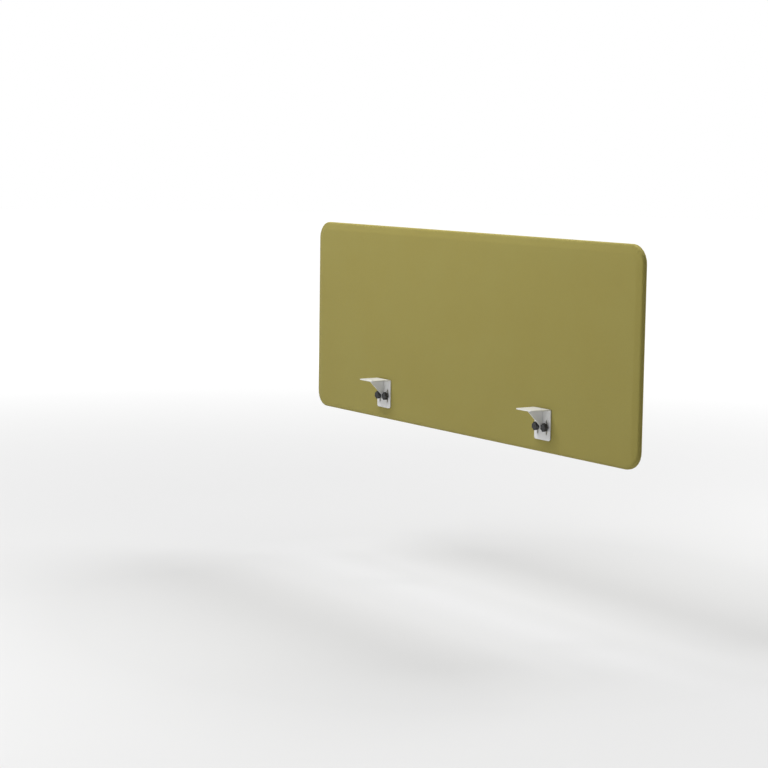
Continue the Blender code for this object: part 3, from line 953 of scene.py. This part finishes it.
# the floor's own light and the distances between which it grows, so that it runs out into the background
GLOW_NEAR, GLOW_FAR = 0.28, 0.98
GLOW_FROM, GLOW_TO = 1.4, 7.5
bpy.context.scene.view_settings.view_transform = "Standard"


def disc(name, radius, z, rings=10, points=96):
    """A flat disc that faces up, its rings closer together near the middle."""
    bm = bmesh.new()
    rows = [[bm.verts.new((0, 0, z))]]
    for ring in range(1, rings + 1):
        r = radius * (ring / rings) ** 2
        row = []
        for step in range(points):
            angle = 2 * math.pi * step / points
            row.append(bm.verts.new((r * math.cos(angle), r * math.sin(angle), z)))
        rows.append(row)
    skin(bm, rows)
    obj = finished(name, bm)
    if obj.data.polygons[0].normal.z < 0:
        obj.data.flip_normals()
    return obj


studio = disc("studio_floor", 40.0, FLOOR_Z)
floor_nodes = Nodes("studio_floor_paint")
floor_cloud = floor_nodes.noise(floor_nodes.place(), 0.7, 2.0)
away = floor_nodes.add("ShaderNodeVectorMath", operation="LENGTH")
floor_nodes.put(away.inputs[0], floor_nodes.place())
floor_nodes.shader.inputs["Emission Color"].default_value = (1, 1, 1, 1)
floor_nodes.put(
    floor_nodes.shader.inputs["Emission Strength"],
    floor_nodes.ranged(away.outputs["Value"], GLOW_NEAR, GLOW_FAR, GLOW_FROM, GLOW_TO),
)
paint(
    studio,
    floor_nodes.set(
        colour=floor_nodes.mixed(floor_cloud, (0.36, 0.36, 0.36), (0.38, 0.38, 0.38)),
        roughness=0.9,
        specular=0.1,
    ),
)

world = bpy.data.worlds.new("studio")
bpy.context.scene.world = world
world.use_nodes = True
sky = world.node_tree
sky.nodes.clear()
sky_out = sky.nodes.new("ShaderNodeOutputWorld")


def background(strength):
    """White light of this strength from all round."""
    node = sky.nodes.new("ShaderNodeBackground")
    node.inputs["Color"].default_value = (1, 1, 1, 1)
    node.inputs["Strength"].default_value = strength
    return node.outputs[0]


# the camera sees full white behind the panel, while the light that falls on the panel from there is weaker
seen = background(1.0)
felt = background(0.17)
ray = sky.nodes.new("ShaderNodeLightPath")
either = sky.nodes.new("ShaderNodeMixShader")
sky.links.new(ray.outputs["Is Camera Ray"], either.inputs[0])
sky.links.new(felt, either.inputs[1])
sky.links.new(seen, either.inputs[2])
sky.links.new(either.outputs[0], sky_out.inputs["Surface"])


def soft_light(name, spot, target, size, power):
    """A rectangular lamp that the camera doesn't see, turned towards its target."""
    light = bpy.data.lights.new(name, "AREA")
    light.shape = "RECTANGLE"
    light.size, light.size_y = size
    light.energy = power
    obj = bpy.data.objects.new(name, light)
    obj.location = spot
    obj.visible_camera = False
    obj.rotation_euler = (Vector(target) - Vector(spot)).to_track_quat("-Z", "Y").to_euler()
    bpy.context.scene.collection.objects.link(obj)


AIM = (0.0, MIDDLE_Y, 0.34)
soft_light("key_light", (-0.7, -3.0, 4.6), AIM, (3.0, 2.2), 213)
soft_light("top_light", (-0.3, 0.19, 3.6), AIM, (2.6, 0.6), 84)
soft_light("low_fill", (-0.50, -3.0, 0.20), (-0.30, MIDDLE_Y, 0.30), (2.0, 0.8), 13.0)
soft_light("rear_light", (0.7, 3.1, 4.6), AIM, (3.0, 2.2), 205)
soft_light("rear_fill", (0.50, 3.1, 0.20), (0.30, MIDDLE_Y, 0.30), (2.0, 0.8), 12.0)

CAMERA_PLACE = (5.4778, -3.891, 0.9433)
CAMERA_YAW = 56.558
CAMERA_DOWN = 6.597
CAMERA_ROLL = -0.823
camera_data = bpy.data.cameras.new("camera")
camera_data.sensor_width = 36.0
camera_data.sensor_fit = "HORIZONTAL"
camera_data.lens = 96.24
camera_data.clip_end = 200.0
camera = bpy.data.objects.new("camera", camera_data)
camera.matrix_world = (
    Matrix.Translation(CAMERA_PLACE)
    @ Matrix.Rotation(math.radians(CAMERA_YAW), 4, "Z")
    @ Matrix.Rotation(math.radians(-CAMERA_DOWN), 4, "X")
    @ Matrix.Rotation(math.radians(CAMERA_ROLL), 4, "Y")
    @ Matrix.Rotation(math.radians(90), 4, "X")
)
bpy.context.scene.collection.objects.link(camera)
bpy.context.scene.camera = camera
